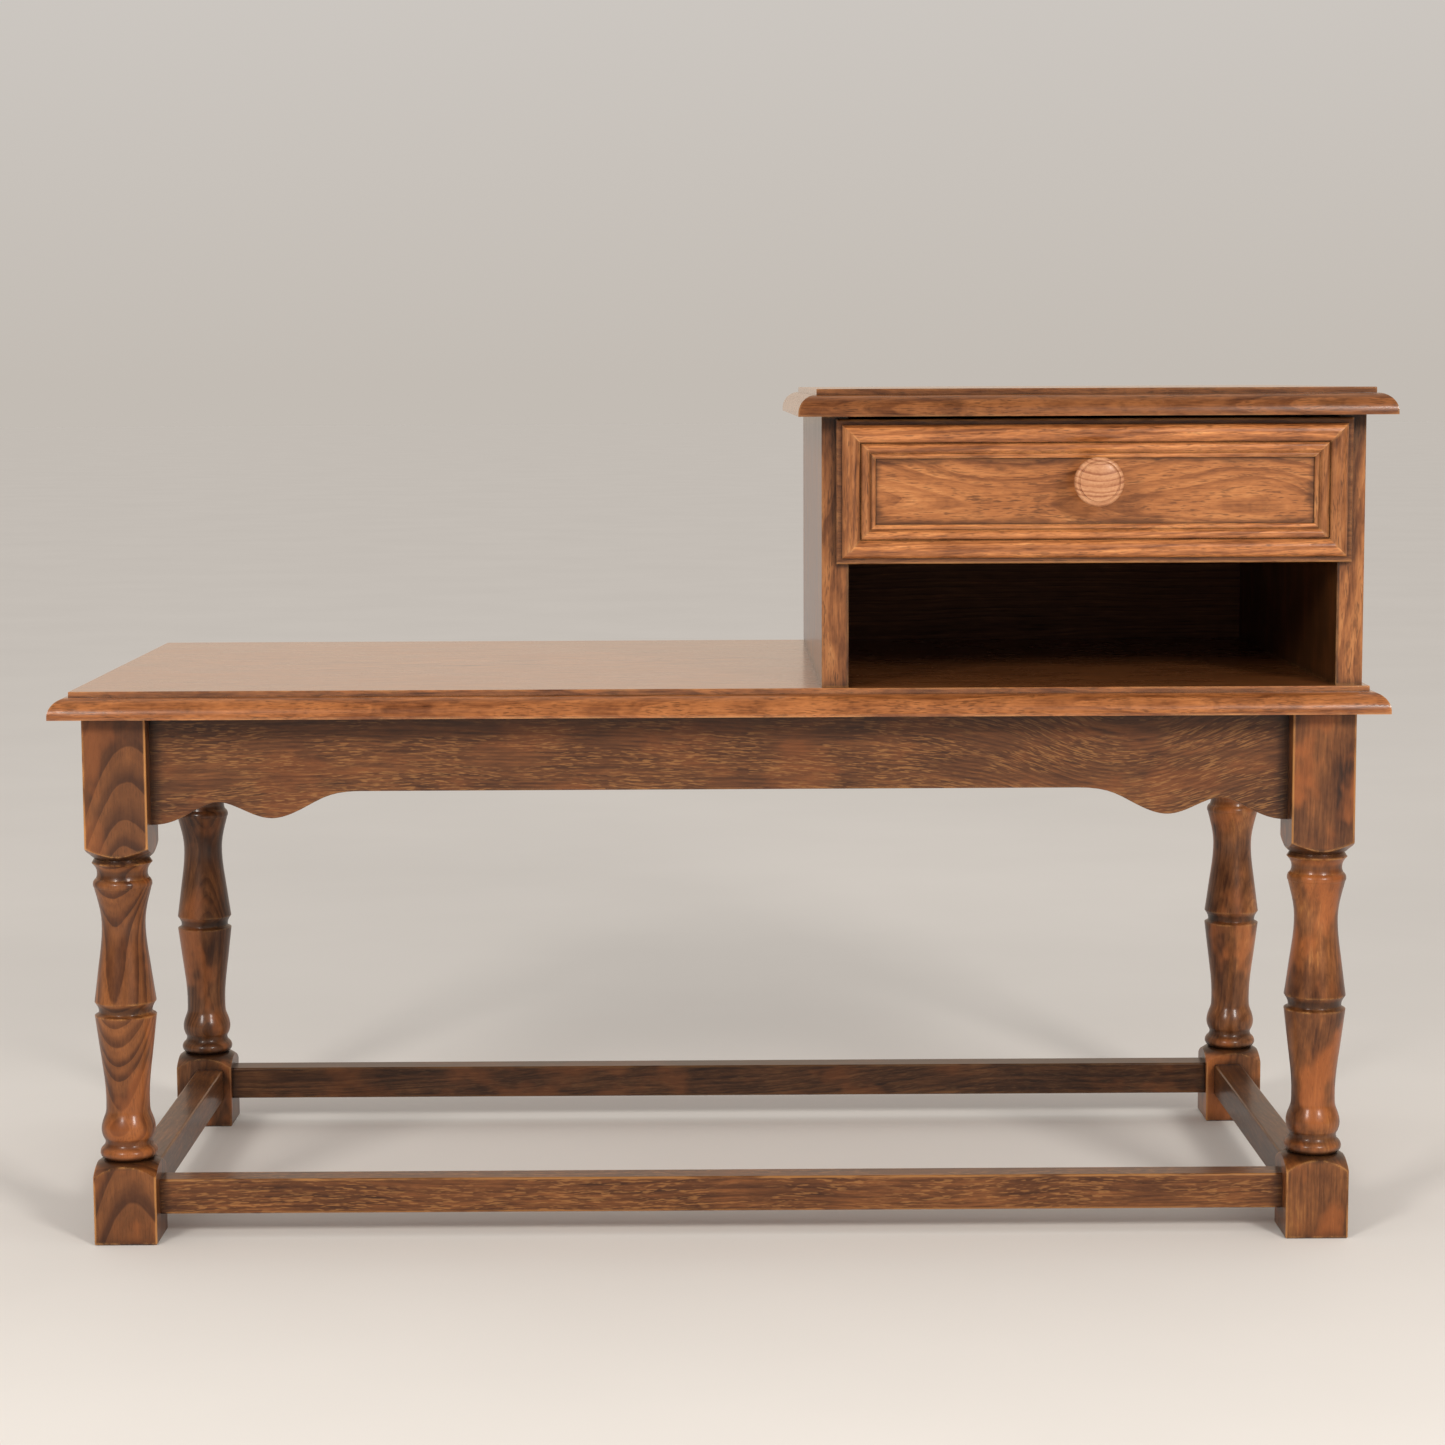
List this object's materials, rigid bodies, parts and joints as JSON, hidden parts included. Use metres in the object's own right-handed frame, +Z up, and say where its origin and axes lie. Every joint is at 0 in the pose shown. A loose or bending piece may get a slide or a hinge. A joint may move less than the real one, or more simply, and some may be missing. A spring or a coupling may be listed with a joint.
{
  "type": "entryway bench",
  "caption": "Low wooden hall bench on turned, stretchered legs, with a moulded seat board and a small cabinet with a drawer over an open compartment at its right-hand end.",
  "frame": {"origin": "on the floor, under the middle of the overall box", "axes": "+X to the right along the bench, towards the cabinet; +Y from the front to the wall side; +Z up"},
  "size_m": [0.94, 0.4412, 0.609],
  "materials": {
    "oak": "glossy lacquer over warm mid-brown oak",
    "oak_upright": "satin lacquer over warm mid-brown oak, upright grain",
    "oak_drawer": "satin lacquer over golden-brown oak",
    "stained_beech": "satin lacquer over brown-stained beech",
    "plain_wood": "satin clear lacquer on pale wood",
    "box_wood": "bare planed wood",
    "plywood": "thin brown-stained plywood",
    "steel": "plain zinc-plated steel"
  },
  "bodies": {
    "frame": {"front_left_leg": "stained_beech", "front_right_leg": "stained_beech", "rear_left_leg": "stained_beech", "rear_right_leg": "stained_beech", "front_apron": "stained_beech", "rear_apron": "stained_beech", "left_apron": "stained_beech", "right_apron": "stained_beech", "front_stretcher": "stained_beech", "rear_stretcher": "stained_beech", "left_stretcher": "stained_beech", "right_stretcher": "stained_beech", "corner_block_front_left": "box_wood", "corner_block_front_right": "box_wood", "corner_block_rear_left": "box_wood", "corner_block_rear_right": "box_wood", "corner_block_screws": "steel", "seat_screws": "steel", "seat_board": "oak", "cabinet_top": "oak", "cabinet_left_side": "oak_upright", "cabinet_right_side": "oak_upright", "cabinet_shelf": "oak_upright", "cabinet_back": "plywood", "back_pins": "steel", "cabinet_screws": "steel", "cabinet_dowels": "box_wood"},
    "drawer": {"drawer_front": "oak_drawer", "drawer_moulding_bottom": "oak_drawer", "drawer_moulding_right": "oak_drawer", "drawer_moulding_top": "oak_drawer", "drawer_moulding_left": "oak_drawer", "drawer_inner_front": "box_wood", "drawer_left_side": "box_wood", "drawer_right_side": "box_wood", "drawer_back": "box_wood", "drawer_bottom": "plywood", "drawer_box_pins": "steel", "drawer_front_screws": "steel", "drawer_knob": "plain_wood", "knob_screw": "steel"}
  },
  "joints": [
    {"name": "drawer_slide", "type": "slide", "parent": "frame", "child": "drawer", "axis": [0, -1, 0], "range_m": [0, 0.27]}
  ]
}
